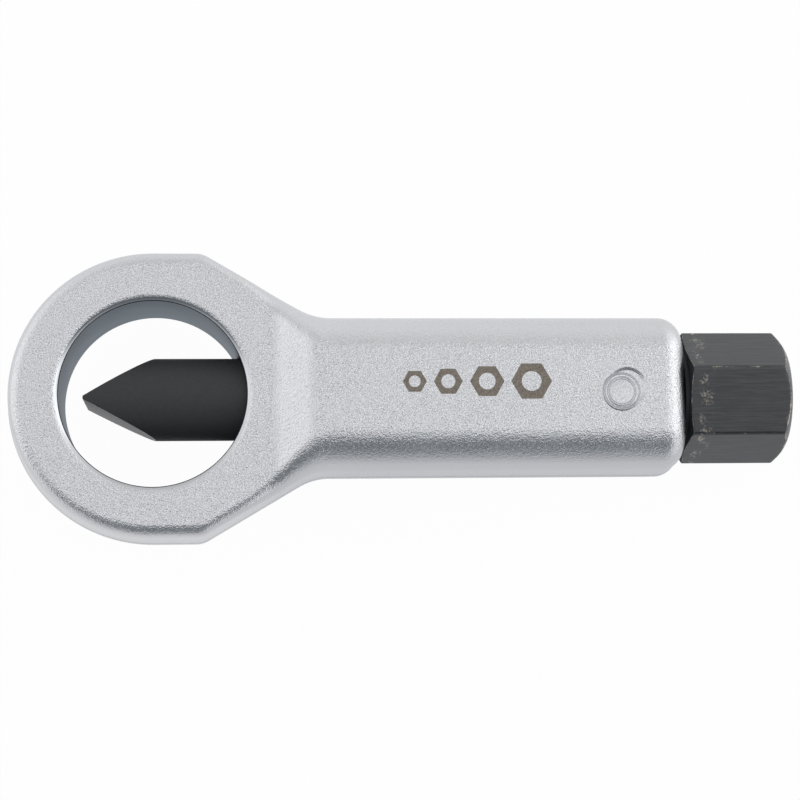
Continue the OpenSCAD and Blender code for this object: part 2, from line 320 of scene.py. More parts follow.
streaks_and_painted_shade.inputs["A"].default_value = (0.55, 0.57, 0.6, 1)
streaks_and_painted_shade.inputs["B"].default_value = (1, 1, 1, 1)
link(streak_and_shade_share.outputs[0], streaks_and_painted_shade.inputs["Factor"])
link(n["Principled BSDF"].inputs["Base Color"].links[0].from_socket, streaked_and_shaded_tone.inputs["A"])
link(streaks_and_painted_shade.outputs["Result"], streaked_and_shaded_tone.inputs["B"])
link(streaked_and_shaded_tone.outputs["Result"], n["Principled BSDF"].inputs["Base Color"])

neck_x = np.unique(np.concatenate([
    np.linspace(0, 5.9, 9), np.linspace(5.9, 8.1, 12), np.linspace(8.1, 16, 17), np.linspace(16, 18.5, 12),
    np.linspace(18.5, 21.7, 8), np.linspace(21.8, 24.1, 12), np.linspace(24.3, neck_end_x, 5)]))[1:]
stations = list(neck_x) + list(np.linspace(neck_end_x, barrel_end_x - barrel_end_r, 11)[1:-1])
stations += [barrel_end_x - barrel_end_r * (1 - math.sin(a)) for a in np.linspace(0, math.pi / 2, 13)]


def station_side(x, way):
    """A section's side at x. It draws in where it rounds over into the barrel's end."""
    run = barrel_end_r - min(barrel_end_x - x, barrel_end_r)
    shrink = barrel_end_r - math.sqrt(max(barrel_end_r ** 2 - run ** 2, 0))
    side = forged_side(forged_half_d(x) - shrink, max(forged_edge_r(x) - shrink, 0.3))
    return [(x, way * (forged_half_w(x) - shrink - inset), z) for inset, z in side]


sides = [station_side(s, 1) for s in reversed(stations)]
for a in np.linspace(math.pi / 2, 3 * math.pi / 2, 109):
    side = forged_side(ring_half_t, ring_edge_r)
    sides.append([((ring_r - i) * math.cos(a), (ring_r - i) * math.sin(a), z) for i, z in side])
sides += [station_side(s, -1) for s in stations]
side_points, last = len(sides[0]), len(sides) - 1
forging_faces = []
for i in range(last):
    for j in range(side_points - 1):
        a, b = i * side_points + j, (i + 1) * side_points + j
        forging_faces.append((a, a + 1, b + 1, b))
for i in range(last // 2):
    a, b = i * side_points, (i + 1) * side_points
    d, c = (last - i) * side_points, (last - i - 1) * side_points
    low = side_points - 1
    forging_faces.append((a, b, c, d) if b != c else (a, b, d))
    forging_faces.append((d + low, c + low, b + low, a + low) if b != c else (d + low, b + low, a + low))
end_face = list(range(side_points - 1, -1, -1))
end_face += range(last * side_points, (last + 1) * side_points)
forging_faces.append(end_face)
forging = make_piece("forged_frame", [p for s in sides for p in s], forging_faces, [forging_finish])


def skin_faces(first, rings, steps):
    """The faces between rings of points that follow one another, from the first point's number on."""
    faces = []
    for k in range(rings - 1):
        near, far = first + k * steps, first + (k + 1) * steps
        for i in range(steps):
            j = (i + 1) % steps
            faces.append((near + i, near + j, far + j, far + i))
    return faces


def turned(profile, steps, finishes, finish_of_step=None, axis="X", centre=(0, 0)):
    """A solid of revolution from [place, radius] points, along X or standing on a point in plan."""
    points = []
    for place, r in profile:
        for a in np.linspace(0, 2 * math.pi, steps, endpoint=False):
            across, up = -r * math.sin(a), r * math.cos(a)
            if axis == "X":
                points.append((place, across + centre[0], up + centre[1]))
            else:
                points.append((up + centre[0], -across + centre[1], place))
    faces = skin_faces(0, len(profile), steps)
    finish_of_face = np.repeat(finish_of_step or [0] * (len(profile) - 1), steps).tolist()
    top = (len(profile) - 1) * steps
    faces.append(list(range(steps - 1, -1, -1)))
    faces.append(list(range(top, top + steps)))
    finish_of_face += [0, 0]
    return make_piece("tool", points, faces, finishes, finish_of_face)


# Points of the hole's rim: how far outside the hole, and how far below the ring's face.
rim_shape = [(0.0, 0.6), (0.04, 0.53), (0.12, 0.45), (0.42, 0.22), (0.52, 0.155), (0.6, 0.11)]
rim_shape += [(0.68, 0.074), (0.76, 0.046), (0.86, 0.02), (0.98, -0.004)]
rim = [(hole_r + out, ring_half_t - down) for out, down in rim_shape]
rim_r, past_ring = rim[-1][0], 30
hole_profile = [(-past_ring, rim_r)] + [(-z, r) for r, z in reversed(rim)]
hole_profile += [(z, r) for r, z in rim] + [(past_ring, rim_r)]
plating, wall, turned_edge = 0, 1, 2
hole_steps = [plating] * 6 + [turned_edge] * 2 + [wall] * 5 + [turned_edge] * 2 + [plating] * 6
cut_away(forging, turned(hole_profile, 192, [forging_finish, bored_steel_and_painted_shade, rim_finish], hole_steps, axis="Z"))

# The chisel's bore from the ring inwards, the tapped hole with its mouth, and the guide screw's hole.
chisel_bore_r, tapped_r, mouth_r = 6.05, 7.05, 8.63
guide_x, guide_hole = 28.5, [(-12, 2.75), (-10.2, 2.75), (-10.0, 2.55), (-3, 2.55)]
cut_away(forging, turned([(0.5, chisel_bore_r), (39.0, chisel_bore_r)], 96, [bored_steel_and_painted_shade]))
cut_away(forging, turned([(38.8, tapped_r), (76.22, tapped_r), (77.8, mouth_r)], 96, [bored_steel_and_painted_shade]))
cut_away(forging, turned(guide_hole, 64, [bored_steel_and_painted_shade], axis="Z", centre=(guide_x, 0)))

# The round mark that the die leaves in the forging's front flat, near the barrel's end.
# It is struck twice a little apart, so that a low crescent of the first blow shows beside the second.
# Each blow's points are a depth below the flat and a radius.
front = barrel_half_d
struck_finish = plated(
    "struck_face", (0.74, 0.745, 0.765), roughness=0.26, grain=0.17, bump=0.022, pit_shade=0.78)
first_blow = [(0.17, 2.2), (0.17, 2.38), (-0.02, 2.86), (-1, 2.95)]
second_blow = [(0.2, 0.001), (0.2, 1.38), (0.24, 1.75), (0.4, 1.9), (0.4, 1.99), (0.12, 2.23), (0.1, 2.3)]
second_blow += [(0.12, 2.39), (0.34, 2.56), (0.34, 2.61), (-0.02, 2.91), (-1, 2.95)]
for blow, centre in ((first_blow, (67.87, 0.3)), (second_blow, (67.07, -0.38))):
    die_face = [(front - depth, r) for depth, r in blow]
    cut_away(forging, turned(die_face, 96, [struck_finish], axis="Z", centre=centre))

# The etched mark on the forging's front flat: a row of plain nuts in rising sizes.
# Acid burns it a few hundredths of a millimetre into the plating, which leaves it brown and dull.
nuts_y, etch_depth, nut_hole_share = 1.1, 0.03, 0.28
etched_finish = plated(
    "etched_mark", (0.3, 0.265, 0.225), roughness=0.5, grain=0.2, bump=0.03, pit_shade=0.6)


def prism(outline, low, high, finish):
    """An upright solid between two heights over an outline in plan."""
    count = len(outline)
    points = [(x, y, z) for z in (low, high) for x, y in outline]
    faces = [list(range(count - 1, -1, -1)), list(range(count, 2 * count))]
    faces += [(i, (i + 1) % count, (i + 1) % count + count, i + count) for i in range(count)]
    return make_piece("tool", points, faces, [finish])


for x, flats in ((37.2, 3.0), (42.0, 3.6), (47.6, 4.3), (54.0, 5.1)):
    corner_r, nut_hole_r = flats / math.sqrt(3), flats * nut_hole_share
    corners = [(x + corner_r * math.cos(a), nuts_y + corner_r * math.sin(a))
               for a in np.radians(np.arange(0, 360, 60))]
    nut = prism(corners, front - etch_depth, front + 1, etched_finish)
    core = [(front - 1, nut_hole_r), (front + 2, nut_hole_r)]
    cut_away(nut, turned(core, 48, [etched_finish], axis="Z", centre=(x, nuts_y)))
    cut_away(forging, nut)
shade(forging, 20)
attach(forging, "frame")
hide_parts("frame")

# The guide screw: a black hexagon-socket set screw with a dog point, screwed into the barrel from behind.
# Its dog runs in the chisel's keyway and keeps the cutting edge upright in the ring.
screw_finish = steel_finish("screw_steel", (0.07, 0.07, 0.075), 0.9, 0.4)
n, link = screw_finish.node_tree.nodes, screw_finish.node_tree.links.new
oil_film = n.new("ShaderNodeTexNoise")
oil_film.inputs["Scale"].default_value = 1.4
oil_film.inputs["Detail"].default_value = 5.0
link(n["in_mm"].outputs["Vector"], oil_film.inputs["Vector"])
film_tone = n.new("ShaderNodeMix")
film_tone.data_type = "RGBA"
film_tone.inputs["A"].default_value = (0.04, 0.04, 0.045, 1)
film_tone.inputs["B"].default_value = (0.12, 0.115, 0.11, 1)
link(oil_film.outputs["Fac"], film_tone.inputs["Factor"])
link(film_tone.outputs["Result"], n["Principled BSDF"].inputs["Base Color"])
film_dull = n.new("ShaderNodeMapRange")
film_dull.inputs["To Min"].default_value = 0.3
film_dull.inputs["To Max"].default_value = 0.5
link(oil_film.outputs["Fac"], film_dull.inputs["Value"])
link(film_dull.outputs["Result"], n["Principled BSDF"].inputs["Roughness"])
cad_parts["guide_screw"].data.materials.clear()
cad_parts["guide_screw"].data.materials.append(screw_finish)

# The chisel: a hardened round bar with two ground bevels that meet in a blunted edge across the ring.
# It is blackened all over. A keyway is milled along its back, and its tail is bored for the screw's spigot.
chisel_r, chisel_steps, edge_x, bar_start_x = 6.0, 144, -10.0, 1.5
edge_off, edge_half, bevel_l = -0.4, 0.2, 10.25
socket_r, groove_r, seat_x, seat_r = 3.55, 4.22, 31, 2.55
keyway_r, keyway_first_x, keyway_last_x, keyway_floor_z = 1.8, 4.3, 28.7, -4


def bar_lines():
    """Fine lines that drawing or grinding leaves along a bar: a height, and a mask of bright streaks."""
    group = bpy.data.node_groups.new("bar_lines", "ShaderNodeTree")
    for name, kind, way in (
        ("Vector", "NodeSocketVector", "INPUT"),
        ("Along", "NodeSocketFloat", "INPUT"),
        ("Across", "NodeSocketFloat", "INPUT"),
        ("Height", "NodeSocketFloat", "OUTPUT"),
        ("Streaks", "NodeSocketFloat", "OUTPUT"),
    ):
        group.interface.new_socket(name=name, in_out=way, socket_type=kind)
    n, link = group.nodes, group.links.new
    given, put = n.new("NodeGroupInput"), n.new("NodeGroupOutput")
    spread = n.new("ShaderNodeCombineXYZ")
    link(given.outputs["Along"], spread.inputs["X"])
    link(given.outputs["Across"], spread.inputs["Y"])
    link(given.outputs["Across"], spread.inputs["Z"])
    pulled = n.new("ShaderNodeVectorMath")
    pulled.operation = "MULTIPLY"
    link(given.outputs["Vector"], pulled.inputs[0])
    link(spread.outputs["Vector"], pulled.inputs[1])
    lines = n.new("ShaderNodeTexNoise")
    lines.inputs["Scale"].default_value = 1.0
    lines.inputs["Detail"].default_value = 5.0
    lines.inputs["Roughness"].default_value = 0.7
    link(pulled.outputs["Vector"], lines.inputs["Vector"])
    link(lines.outputs["Fac"], put.inputs["Height"])
    bright = n.new("ShaderNodeMapRange")
    bright.inputs["From Min"].default_value = 0.42
    bright.inputs["From Max"].default_value = 0.68
    link(lines.outputs["Fac"], bright.inputs["Value"])
    link(bright.outputs["Result"], put.inputs["Streaks"])
    return group


bar_lines_group = bar_lines()


def blackened(name, dark, streak, worn, metallic, roughness, along, across, bump, scuff):
    """Black oxide over bar steel: lines along the bar, small scuffs, and bare metal where it is worn."""
    finish = steel_finish(name, dark, metallic, roughness)
    n, link = finish.node_tree.nodes, finish.node_tree.links.new
    shader, place = n["Principled BSDF"], n["in_mm"].outputs["Vector"]
    drawn = n.new("ShaderNodeGroup")
    drawn.node_tree = bar_lines_group
    drawn.inputs["Along"].default_value = along
    drawn.inputs["Across"].default_value = across
    link(place, drawn.inputs["Vector"])
    toned = n.new("ShaderNodeMix")
    toned.data_type = "RGBA"
    toned.inputs["A"].default_value = (*dark, 1)
    toned.inputs["B"].default_value = (*streak, 1)
    link(drawn.outputs["Streaks"], toned.inputs["Factor"])
    specks = n.new("ShaderNodeTexNoise")
    specks.inputs["Scale"].default_value = 2.6
    specks.inputs["Detail"].default_value = 6.0
    specks.inputs["Roughness"].default_value = 0.72
    link(place, specks.inputs["Vector"])
    rubbed = n.new("ShaderNodeMapRange")
    rubbed.inputs["From Min"].default_value = 0.66
    rubbed.inputs["From Max"].default_value = 0.78
    rubbed.inputs["To Max"].default_value = scuff
    link(specks.outputs["Fac"], rubbed.inputs["Value"])
    wear = n.new("ShaderNodeAttribute")
    wear.attribute_name = "wear"
    broken = n.new("ShaderNodeMath")
    broken.operation = "MULTIPLY_ADD"
    broken.inputs[1].default_value = 1.6
    broken.inputs[2].default_value = -0.62
    link(specks.outputs["Fac"], broken.inputs[0])
    patches = n.new("ShaderNodeTexNoise")
    patches.inputs["Scale"].default_value = 0.55
    patches.inputs["Detail"].default_value = 3.0
    link(place, patches.inputs["Vector"])
    uneven = n.new("ShaderNodeMapRange")
    uneven.inputs["From Min"].default_value = 0.35
    uneven.inputs["From Max"].default_value = 0.62
    uneven.inputs["To Min"].default_value = 0.55
    uneven.inputs["To Max"].default_value = 1.25
    link(patches.outputs["Fac"], uneven.inputs["Value"])
    rubbing = n.new("ShaderNodeMath")
    rubbing.operation = "MULTIPLY"
    link(wear.outputs["Fac"], rubbing.inputs[0])
    link(uneven.outputs["Result"], rubbing.inputs[1])
    edge = n.new("ShaderNodeMath")
    edge.operation = "ADD"
    link(rubbing.outputs[0], edge.inputs[0])
    link(broken.outputs[0], edge.inputs[1])
    through = n.new("ShaderNodeMapRange")
    through.interpolation_type = "SMOOTHSTEP"
    through.inputs["From Min"].default_value = 0.72
    through.inputs["From Max"].default_value = 1.2
    link(edge.outputs[0], through.inputs["Value"])
    bare = n.new("ShaderNodeMath")
    bare.operation = "MAXIMUM"
    link(through.outputs["Result"], bare.inputs[0])
    link(rubbed.outputs["Result"], bare.inputs[1])
    colour = n.new("ShaderNodeMix")
    colour.data_type = "RGBA"
    colour.inputs["B"].default_value = (*worn, 1)
    link(bare.outputs[0], colour.inputs["Factor"])
    link(toned.outputs["Result"], colour.inputs["A"])
    link(colour.outputs["Result"], shader.inputs["Base Color"])
    relief = n.new("ShaderNodeBump")
    relief.inputs["Strength"].default_value = 1.0
    relief.inputs["Distance"].default_value = bump * 0.001
    link(drawn.outputs["Height"], relief.inputs["Height"])
    link(relief.outputs["Normal"], shader.inputs["Normal"])
    dull = n.new("ShaderNodeMapRange")
    dull.inputs["To Min"].default_value = roughness - 0.06
    dull.inputs["To Max"].default_value = roughness + 0.1
    link(specks.outputs["Fac"], dull.inputs["Value"])
    link(dull.outputs["Result"], shader.inputs["Roughness"])
    return finish


def mask_wear(piece, wear):
    """Keeps how worn each point is, for the finish to read."""
    mask = piece.data.attributes.new("wear", "FLOAT", "POINT")
    mask.data.foreach_set("value", np.array(wear, np.float32).ravel())


def weld(piece):
    """Joins points that lie together, and drops the faces that shrank to nothing."""
    merge = piece.modifiers.new("merge", "WELD")
    merge.merge_threshold = 2e-6
    settle(piece)


chisel_finish = blackened(
    "black_chisel", (0.046, 0.048, 0.048), (0.053, 0.055, 0.055), (0.14, 0.135, 0.13),
    metallic=0.0, roughness=0.6, along=1.6, across=3.0, bump=0.006, scuff=0.14)
chisel_finish.node_tree.nodes["Principled BSDF"].inputs["Specular IOR Level"].default_value = 0.25
bevel_finish = blackened(
    "ground_bevel", (0.072, 0.072, 0.073), (0.118, 0.118, 0.118), (0.42, 0.41, 0.4),
    metallic=0.9, roughness=0.42, along=0.6, across=6.0, bump=0.008, scuff=0.2)
chisel_angles = np.linspace(0, 2 * math.pi, chisel_steps, endpoint=False)
chisel_rings, chisel_wear = [], []


def bevelled(y, t):
    """A point on the bevels, a share t of the way from the edge out to the bar's side at y."""
    way = 1 if y > edge_off else -1
    edge = edge_off + way * edge_half
    reach = max(way * (y - edge), 0)
    return edge_x + reach * t * bevel_l / (chisel_r - way * edge), y - way * reach * (1 - t)


bevel_shares = (0, 0.01, 0.03, 0.15, 0.4, 0.7, 0.9, 0.97, 1.0)
for t in bevel_shares:
    ring = []
    r_in = 0.996 if t == 1.0 else 1
    for a in chisel_angles:
        x, y = bevelled(-chisel_r * math.sin(a), t)
        ring.append((x, y * r_in, chisel_r * math.cos(a) * r_in))
    chisel_rings.append(ring)
    chisel_wear.append([1.0 if t in (0, 0.01) else 0.85 if t > 0.95 else 0.12] * chisel_steps)
for t in (0.015, 0.04, 0.3, 0.6, 1.0):
    ring = []
    for a in chisel_angles:
        start, y = bevelled(-chisel_r * math.sin(a), 1)
        ring.append((start + (bar_start_x - start) * t, y, chisel_r * math.cos(a)))
    chisel_rings.append(ring)
    chisel_wear.append([0.0] * chisel_steps)

# Along the bar to its tail, over the tail's chamfer, and into the socket with its groove and the ball's seat.
bar_profile = [(x, chisel_r) for x in (8, 16, 24, 32, 39.4)]
bar_profile += [(39.52, 5.98), (39.98, 5.52), (40, 5.4), (40, 3.9), (39.7, socket_r), (37.7, socket_r)]
bar_profile += [(37.7, groove_r), (36.3, groove_r), (36.3, socket_r), (31.2, socket_r)]
bar_profile += [(seat_x, 3.4), (seat_x, seat_r)]
for a in np.linspace(0.2, math.pi / 2 - 0.001, 9):
    bar_profile.append((seat_x - seat_r * math.sin(a), seat_r * math.cos(a)))
for x, r in bar_profile:
    chisel_rings.append([(x, -r * math.sin(a), r * math.cos(a)) for a in chisel_angles])
    on_tail_edge = abs(x - 39.75) < 0.3 and r > 5
    chisel_wear.append([0.3 if on_tail_edge else 0.0] * chisel_steps)
chisel_faces = skin_faces(0, len(chisel_rings), chisel_steps)
ground_faces = (len(bevel_shares) - 1) * chisel_steps
ground = [1] * ground_faces + [0] * (len(chisel_faces) - ground_faces)
for i in range(chisel_steps // 2):
    across = chisel_steps - i
    chisel_faces.append((i, across % chisel_steps, across - 1, i + 1))
    ground.append(1)
chisel_points = np.array(chisel_rings).reshape(-1, 3)
chisel = make_piece("chisel_bar", chisel_points, chisel_faces, [chisel_finish, bevel_finish], ground)
mask_wear(chisel, chisel_wear)
weld(chisel)
half_turn = np.linspace(-math.pi / 2, math.pi / 2, 17)
keyway = [(keyway_last_x + keyway_r * math.cos(a), keyway_r * math.sin(a)) for a in half_turn]
keyway += [(keyway_first_x - keyway_r * math.cos(a), -keyway_r * math.sin(a)) for a in half_turn]
cut_away(chisel, prism(keyway, -chisel_r - 3, keyway_floor_z, chisel_finish))
shade(chisel, 30)
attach(chisel, "chisel")
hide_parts("chisel")

# The thrust ball between the screw's nose and the chisel: a polished bearing ball with a trace of grease.
# The snap ring beside it: round spring wire that holds the spigot in the chisel's tail.
ball_finish = steel_finish("bearing_steel", (0.7, 0.7, 0.72), 1.0, 0.12)
wire_finish = steel_finish("spring_wire", (0.4, 0.4, 0.42), 1.0, 0.35)
for finish, low, high, size in ((ball_finish, 0.08, 0.3, 0.5), (wire_finish, 0.28, 0.45, 2.2)):
    n, link = finish.node_tree.nodes, finish.node_tree.links.new
    grease = n.new("ShaderNodeTexNoise")
    grease.inputs["Scale"].default_value = size
    grease.inputs["Detail"].default_value = 4.0
    link(n["in_mm"].outputs["Vector"], grease.inputs["Vector"])
    smear = n.new("ShaderNodeMapRange")
    smear.inputs["To Min"].default_value = low
    smear.inputs["To Max"].default_value = high
    link(grease.outputs["Fac"], smear.inputs["Value"])
    link(smear.outputs["Result"], n["Principled BSDF"].inputs["Roughness"])
for node, finish in (("thrust_ball", ball_finish), ("swivel_ring", wire_finish)):
    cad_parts[node].data.materials.clear()
    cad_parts[node].data.materials.append(finish)

# The forcing screw: drawn hexagon bar, turned down to a fine right-hand thread and a spigot with a groove.
# It is blackened, and bare steel shows on the chamfers and corners that the spanner rubs.
pitch, thread_r, root_r, runout_r = 1.5, 7.0, 6.06, 5.9
nose_x, spigot_r, spigot_groove_r = 33.55, 3.5, 2.83
shank_x, runout_x, washer_x, head_x, head_end_x = 40.3, 74.65, 76.85, 77.45, 92.75
head_apothem, head_corner_r, head_face_r, washer_r = 8.5, 9.7, 7.8, 8.0
head_turn = math.radians(10)
head_finish = blackened(
    "black_screw", (0.062, 0.066, 0.07), (0.096, 0.1, 0.104), (0.5, 0.44, 0.37),
    metallic=1.0, roughness=0.42, along=0.22, across=5.0, bump=0.012, scuff=0.3)
head_finish.node_tree.nodes["Principled BSDF"].inputs["Coat Weight"].default_value = 0.55
head_finish.node_tree.nodes["Principled BSDF"].inputs["Coat Roughness"].default_value = 0.35
# The runout, the washer face and the start of the inner chamfer: a duller black, whose darker colour is
# painted shade where the barrel's end shadows the head's underside.
painted_shade_under_head = blackened(
    "black_turned_painted_shade", (0.024, 0.027, 0.032), (0.03, 0.033, 0.038), (0.06, 0.06, 0.06),
    metallic=0.5, roughness=0.6, along=5.0, across=5.0, bump=0.004, scuff=0.0)

# One sixth of the hexagon in degrees from a corner, with the steps close together where the corner is worn.
corner_steps = (0, 1.1, 1.9, 3.2, 5.5, 8.5, 12, 15, 18, 21, 24, 27)
sector = list(corner_steps) + [30] + [60 - s for s in reversed(corner_steps[1:])]
screw_angles = [head_turn + math.radians(30 + 60 * k + s) for k in range(6) for s in sector]
screw_steps = len(screw_angles)
from_flat = [abs((math.degrees(a - head_turn) + 30) % 60 - 30) for a in screw_angles]
hexagon = [min(head_apothem / math.cos(math.radians(d)), head_corner_r) for d in from_flat]
corner_wear = [0.6 * math.exp(-(((30 - d) / 1.5) ** 2)) for d in from_flat]
screw_rings, screw_wear = [], []


def screw_ring(xs, rs, wear):
    """Adds a ring of points round the screw's axis, each with its own place, radius and wear."""
    screw_rings.append([(x, -r * math.sin(a), r * math.cos(a)) for x, r, a in zip(xs, rs, screw_angles)])
    screw_wear.append(wear)


def plain_ring(x, r, wear=0.0):
    """Adds a round ring of points."""
    screw_ring([x] * screw_steps, [r] * screw_steps, [wear] * screw_steps)


# The spigot that the snap ring holds, from its face on the ball to the shoulder where the thread starts.
nose_profile = [(nose_x, 0.001), (nose_x, 2.9), (33.62, 3.1), (34.0, 3.46), (34.1, spigot_r)]
nose_profile += [(36.3, spigot_r), (36.3, spigot_groove_r), (37.7, spigot_groove_r), (37.7, spigot_r)]
nose_profile += [(40.1, spigot_r), (shank_x, 3.7), (shank_x, 5.7)]
for x, r in nose_profile:
    plain_ring(x, r)
nose_rings, nose_wear = screw_rings, screw_wear

# One turn of the thread: a share of the pitch and a radius, from the crest down to the root.
crest = [(0.0, thread_r - 0.04), (0.03, thread_r), (0.1, thread_r), (0.13, thread_r - 0.04)]
crest += [(0.43, root_r + 0.06), (0.5, root_r), (0.63, root_r), (0.7, root_r + 0.06)]
thread_points, thread_faces, thread_wear = [], [], []
turns = int(math.ceil((runout_x - shank_x) / pitch)) + 1
for k in range(turns * screw_steps + 1):
    turn, i = divmod(k, screw_steps)
    a = screw_angles[i]
    lead = (screw_angles[i] - screw_angles[0]) / (2 * math.pi)
    for u, r in crest + [(1.0, crest[0][1])]:
        x = shank_x + pitch * (turn + lead + u - 1)
        held = min(max(x, shank_x), runout_x)
        room = min(held - shank_x, runout_x - held)
        r = min(r, runout_r + room) if x == held else runout_r
        thread_points.append((held, -r * math.sin(a), r * math.cos(a)))
        thread_wear.append(0.35 if r > thread_r - 0.02 else 0.0)
row = len(crest) + 1
for k in range(turns * screw_steps):
    for j in range(row - 1):
        p = k * row + j
        thread_faces.append((p, p + row, p + row + 1, p + 1))

# The runout behind the thread and the washer face under the head.
screw_rings, screw_wear = [], []
under_profile = [(runout_x, runout_r), (runout_x + 0.3, 5.88), (washer_x - 0.3, 5.88), (washer_x, 6.1)]
under_profile += [(washer_x, 7.85), (washer_x + 0.1, washer_r), (head_x - 0.04, washer_r)]
for x, r in under_profile:
    plain_ring(x, r)

# The hexagon with a shallow chamfer on its inner end and a steeper one on its outer end, and the end face.
inner_slope, outer_slope = math.tan(math.radians(16.5)), math.tan(math.radians(33))
inner_x = [head_x + (r - washer_r) * inner_slope for r in hexagon]
outer_x = [head_end_x - (r - head_face_r) * outer_slope for r in hexagon]
screw_ring(
    [head_x + 0.3 * (x - head_x) for x in inner_x], [washer_r + 0.3 * (r - washer_r) for r in hexagon],
    [0.0] * screw_steps)
screw_ring([x - 0.09 * inner_slope for x in inner_x], [r - 0.09 for r in hexagon], [0.2] * screw_steps)
screw_ring([x + 0.012 for x in inner_x], [r - 0.025 for r in hexagon], [0.8] * screw_steps)
screw_ring([x + 0.1 for x in inner_x], hexagon, [max(0.25, w) for w in corner_wear])
head_scuffs = [(0.02, 0.42), (0.05, 0.4), (0.07, 0.56), (0.11, 0.62), (0.14, 0.5), (0.21, 0.48)]
head_scuffs += [(0.26, 0.3), (0.5, 0.24), (0.8, 0.2), (0.97, 0.35)]
for t, scuff in head_scuffs:
    xs = [a + 0.1 + (b - a - 0.24) * t for a, b in zip(inner_x, outer_x)]
    screw_ring(xs, hexagon, [max(scuff, w) for w in corner_wear])
screw_ring([x - 0.14 for x in outer_x], hexagon, [max(0.5, w) for w in corner_wear])
screw_ring([x - 0.015 for x in outer_x], [r - 0.03 for r in hexagon], [1.0] * screw_steps)
screw_ring([x + 0.09 for x in outer_x], [r - 0.09 / outer_slope for r in hexagon], [0.7] * screw_steps)
screw_ring(
    [x + 0.5 * (head_end_x - x) for x in outer_x], [r + 0.5 * (head_face_r - r) for r in hexagon],
    [0.3] * screw_steps)
plain_ring(head_end_x - 0.05, head_face_r + 0.05, 0.5)
plain_ring(head_end_x - 0.005, head_face_r - 0.05, 0.6)
for r in (head_face_r - 0.2, 6.0, 3.0, 0.001):
    plain_ring(head_end_x, r, 0.1)

nose_points, head_points = np.array(nose_rings).reshape(-1, 3), np.array(screw_rings).reshape(-1, 3)
collar_points = [(shank_x, -runout_r * math.sin(a), runout_r * math.cos(a)) for a in screw_angles]
screw_points = np.concatenate([nose_points, thread_points, head_points, collar_points])
screw_faces = skin_faces(0, len(nose_rings), screw_steps)
first = len(nose_points)
screw_faces += [tuple(p + first for p in face) for face in thread_faces]
first += len(thread_points)
head_faces = skin_faces(first, len(screw_rings), screw_steps)
# Faces from the runout to the start of the inner chamfer take that darker black, painted shade under the
# head.
turned_faces = (len(under_profile) + 1) * screw_steps
under_head = [0] * len(screw_faces) + [1] * turned_faces + [0] * (len(head_faces) - turned_faces)
screw_faces += head_faces
shoulder = len(nose_points) - screw_steps
collar = first + len(head_points)
for i in range(screw_steps):
    j = (i + 1) % screw_steps
    screw_faces.append((shoulder + i, shoulder + j, collar + j, collar + i))
    under_head.append(0)
screw = make_piece("forcing_screw", screw_points, screw_faces, [head_finish, painted_shade_under_head], under_head)
screw_mask = [np.ravel(nose_wear), thread_wear, np.ravel(screw_wear), np.zeros(screw_steps)]
mask_wear(screw, np.concatenate(screw_mask))
weld(screw)
shade(screw, 35)
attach(screw, "spindle")
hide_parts("spindle")

# The floor: a plain white paper sheet that the tool lies on, which keeps its faint shadow.
# It shows white to the camera. In the plating's reflections it carries painted shade: greyer under the barrel
# and towards the front.
floor_half, floor_z = 6, -0.0001
floor_corners = [(x * floor_half, y * floor_half, floor_z) for x, y in ((-1, -1), (1, -1), (1, 1), (-1, 1))]
floor_mesh = bpy.data.meshes.new("floor")
floor_mesh.from_pydata(floor_corners, [], [(0, 1, 2, 3)])
floor = bpy.data.objects.new("floor", floor_mesh)
bpy.context.scene.collection.objects.link(floor)
paper = bpy.data.materials.new("white_paper")
paper.use_nodes = True
n, link = paper.node_tree.nodes, paper.node_tree.links.new
n["Principled BSDF"].inputs["Base Color"].default_value = (0.93, 0.93, 0.93, 1)
n["Principled BSDF"].inputs["Roughness"].default_value = 0.9
n["Principled BSDF"].inputs["Specular IOR Level"].default_value = 0.0
glow = n.new("ShaderNodeEmission")
seen = n.new("ShaderNodeLightPath")
either = n.new("ShaderNodeMath")
either.operation = "MAXIMUM"
link(seen.outputs["Is Camera Ray"], either.inputs[0])
link(seen.outputs["Is Glossy Ray"], either.inputs[1])
any_seen = n.new("ShaderNodeMath")
any_seen.operation = "MAXIMUM"
link(either.outputs[0], any_seen.inputs[0])
link(seen.outputs["Is Transmission Ray"], any_seen.inputs[1])
share = n.new("ShaderNodeMath")
share.operation = "MULTIPLY"
share.inputs[1].default_value = 0.97
link(any_seen.outputs[0], share.inputs[0])
where = n.new("ShaderNodeNewGeometry")
place = n.new("ShaderNodeSeparateXYZ")
link(where.outputs["Position"], place.inputs["Vector"])


def ramp_of(value, low, high):
    """How far a value has gone from low to high, eased at both ends."""
    ramp = n.new("ShaderNodeMapRange")
    ramp.interpolation_type = "SMOOTHSTEP"
    ramp.inputs["From Min"].default_value = low
    ramp.inputs["From Max"].default_value = high
    link(value, ramp.inputs["Value"])
    return ramp.outputs["Result"]


def toned(share, before, after):
    """A colour, or a socket with one, that turns into another by a share."""
    mix = n.new("ShaderNodeMix")
    mix.data_type = "RGBA"
    link(share, mix.inputs["Factor"])
    for end, tone in (("A", before), ("B", after)):
        if isinstance(tone, tuple):
            mix.inputs[end].default_value = tone
        else:
            link(tone, mix.inputs[end])
    return mix.outputs["Result"]


